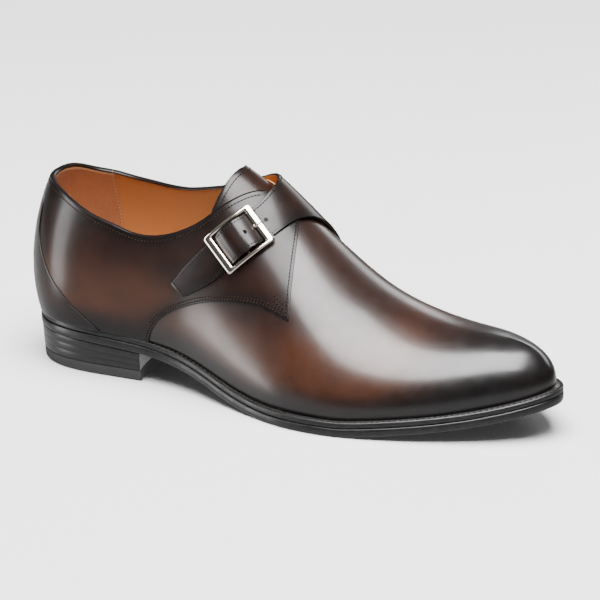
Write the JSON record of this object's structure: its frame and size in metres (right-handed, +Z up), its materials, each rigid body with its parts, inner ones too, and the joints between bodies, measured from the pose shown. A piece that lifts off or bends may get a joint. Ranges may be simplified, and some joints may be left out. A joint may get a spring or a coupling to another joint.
{
  "type": "monk strap shoe",
  "caption": "Leather monk strap shoe for the right foot: hollow lasted upper, strap fastened by a square buckle, welted sole with arch, toe spring and low stacked heel.",
  "frame": {"origin": "middle of the whole shoe's outline on the floor that it stands on", "axes": "+X to the toe, +Y to the inner side of the foot, +Z up"},
  "size_m": [0.3028, 0.1041, 0.1173],
  "materials": {
    "calf_leather": "burnished dark brown calf, glazed, darker at toe, heel and edges",
    "lining_leather": "matt tan lining leather",
    "sole_edge": "black waxed edge, satin",
    "heel_rubber": "black rubber",
    "buckle_metal": "polished, pale warm tone"
  },
  "bodies": {
    "root": {"upper": "calf_leather", "tongue": "calf_leather", "strap": "calf_leather", "buckle_tab": "calf_leather", "buckle_frame": "buckle_metal", "buckle_prong": "buckle_metal", "insole": "lining_leather", "welt": "sole_edge", "heel_rand": "sole_edge", "outsole": "sole_edge", "heel_stack": "sole_edge", "heel_top_piece": "heel_rubber"}
  },
  "joints": []
}
